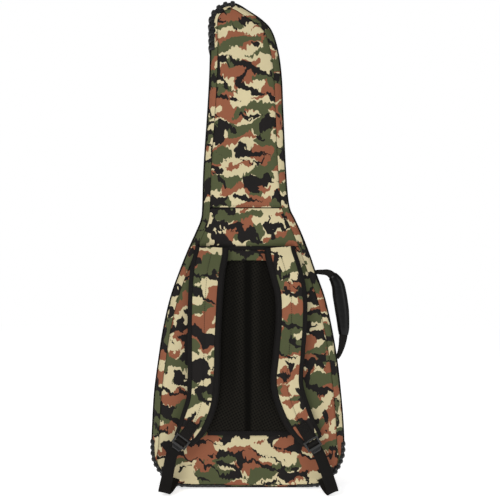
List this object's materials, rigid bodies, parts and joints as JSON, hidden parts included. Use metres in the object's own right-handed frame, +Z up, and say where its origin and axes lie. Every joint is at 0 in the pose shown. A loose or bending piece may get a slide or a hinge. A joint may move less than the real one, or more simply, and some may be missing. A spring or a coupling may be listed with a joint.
{
  "type": "padded gig bag",
  "caption": "Padded gig bag for an electric guitar, with book-opening halves, backpack straps, a side carry handle and front pockets.",
  "frame": {"origin": "middle of the whole object's footprint, on the surface that the bag stands on", "axes": "+Z up the bag from base to headstock, -Y out of the side with the shoulder straps, +X towards the carry handle"},
  "size_m": [0.4396, 0.2053, 1.0641],
  "materials": {
    "printed_polyester": "woven polyester printed with a four-colour woodland pattern",
    "foam": "closed-cell foam",
    "plush": "brushed plush",
    "black_binding": "woven binding tape",
    "black_webbing": "woven webbing",
    "air_mesh": "knitted spacer mesh",
    "guard_rubber": "ribbed moulded rubber",
    "acetal": "moulded acetal",
    "zip_tape": "woven zip tape",
    "zip_metal": "black enamelled zinc",
    "pull_rubber": "moulded rubber",
    "handle_cover": "soft coated fabric"
  },
  "bodies": {
    "root": {"back_foam": "foam", "back_lining": "plush", "back_pad": "air_mesh", "back_piping": "black_binding", "back_shell": "printed_polyester", "base_bumper_left": "guard_rubber", "base_bumper_right": "guard_rubber", "base_cushion": "foam", "handle_tab_lower": "black_webbing", "handle_tab_upper": "black_webbing", "headstock_bumper": "guard_rubber", "hinge_strip": "black_binding", "lower_webbing_left": "black_webbing", "lower_webbing_right": "black_webbing", "neck_cradle": "foam", "neck_strap": "black_webbing", "pad_binding": "black_binding", "rear_zip_tape": "zip_tape", "strap_band": "black_binding", "web_tab_left": "black_webbing", "web_tab_right": "black_webbing", "yoke_panel": "printed_polyester"},
    "lid": {"front_shell": "printed_polyester", "front_foam": "foam", "front_lining": "plush", "front_piping": "black_binding", "front_zip_tape": "zip_tape", "body_pocket": "printed_polyester", "body_pocket_zip": "zip_tape", "accessory_pocket": "printed_polyester", "accessory_pocket_zip": "zip_tape"},
    "strap_left": {"strap_pad_left": "printed_polyester", "strap_stub_left": "black_webbing", "ladder_lock_left": "acetal"},
    "strap_right": {"strap_pad_right": "printed_polyester", "strap_stub_right": "black_webbing", "ladder_lock_right": "acetal"},
    "handle": {"handle_webbing": "black_webbing", "handle_grip": "handle_cover"},
    "main_slider_upper": {"main_slider_upper": "zip_metal"},
    "main_slider_lower": {"main_slider_lower": "zip_metal"},
    "body_pocket_slider": {"body_pocket_slider": "zip_metal"},
    "accessory_slider": {"accessory_slider": "zip_metal"},
    "main_pull_upper": {"main_pull_upper": "pull_rubber"},
    "main_pull_lower": {"main_pull_lower": "pull_rubber"},
    "body_pocket_pull": {"body_pocket_pull": "pull_rubber"},
    "accessory_pull": {"accessory_pull": "pull_rubber"}
  },
  "joints": [
    {"name": "lid_hinge", "type": "hinge", "parent": "root", "child": "lid", "pos_m": [-0.2172, 0.0336, 0.16], "axis": [0, 0, 1], "range_deg": [0, 150]},
    {"name": "strap_left_hinge", "type": "hinge", "parent": "root", "child": "strap_left", "pos_m": [-0.0862, -0.06, 0.5265], "axis": [-1, 0, 0], "range_deg": [0, 14]},
    {"name": "strap_right_hinge", "type": "hinge", "parent": "root", "child": "strap_right", "pos_m": [0.0613, -0.06, 0.5265], "axis": [-1, 0, 0], "range_deg": [0, 14]},
    {"name": "handle_swing", "type": "hinge", "parent": "root", "child": "handle", "pos_m": [0.1648, -0.031, 0.377], "axis": [-0.2256, 0, 0.9742], "range_deg": [-60, 60]},
    {"name": "main_slider_upper_slide", "type": "slide", "parent": "root", "child": "main_slider_upper", "axis": [-0.0857, 0, 0.9963], "range_m": [0, 0.05]},
    {"name": "main_slider_lower_slide", "type": "slide", "parent": "root", "child": "main_slider_lower", "axis": [0.0549, 0, -0.9985], "range_m": [0, 0.05]},
    {"name": "main_pull_upper_swing", "type": "hinge", "parent": "main_slider_upper", "child": "main_pull_upper", "pos_m": [0.20592, 0.0376, 0.174], "axis": [0, -1, 0], "range_deg": [0, 150]},
    {"name": "main_pull_lower_swing", "type": "hinge", "parent": "main_slider_lower", "child": "main_pull_lower", "pos_m": [0.2071, 0.0296, 0.16], "axis": [0, -1, 0], "range_deg": [0, 150]},
    {"name": "body_pocket_slider_slide", "type": "slide", "parent": "lid", "child": "body_pocket_slider", "axis": [1, 0, 0], "range_m": [0, 0.2]},
    {"name": "body_pocket_pull_swing", "type": "hinge", "parent": "body_pocket_slider", "child": "body_pocket_pull", "pos_m": [-0.1077, 0.1017, 0.302], "axis": [1, 0, 0], "range_deg": [0, 150]},
    {"name": "accessory_slider_slide", "type": "slide", "parent": "lid", "child": "accessory_slider", "axis": [1, 0, 0], "range_m": [0, 0.12]},
    {"name": "accessory_pull_swing", "type": "hinge", "parent": "accessory_slider", "child": "accessory_pull", "pos_m": [-0.0677, 0.0897, 0.454], "axis": [1, 0, 0], "range_deg": [0, 150]}
  ]
}
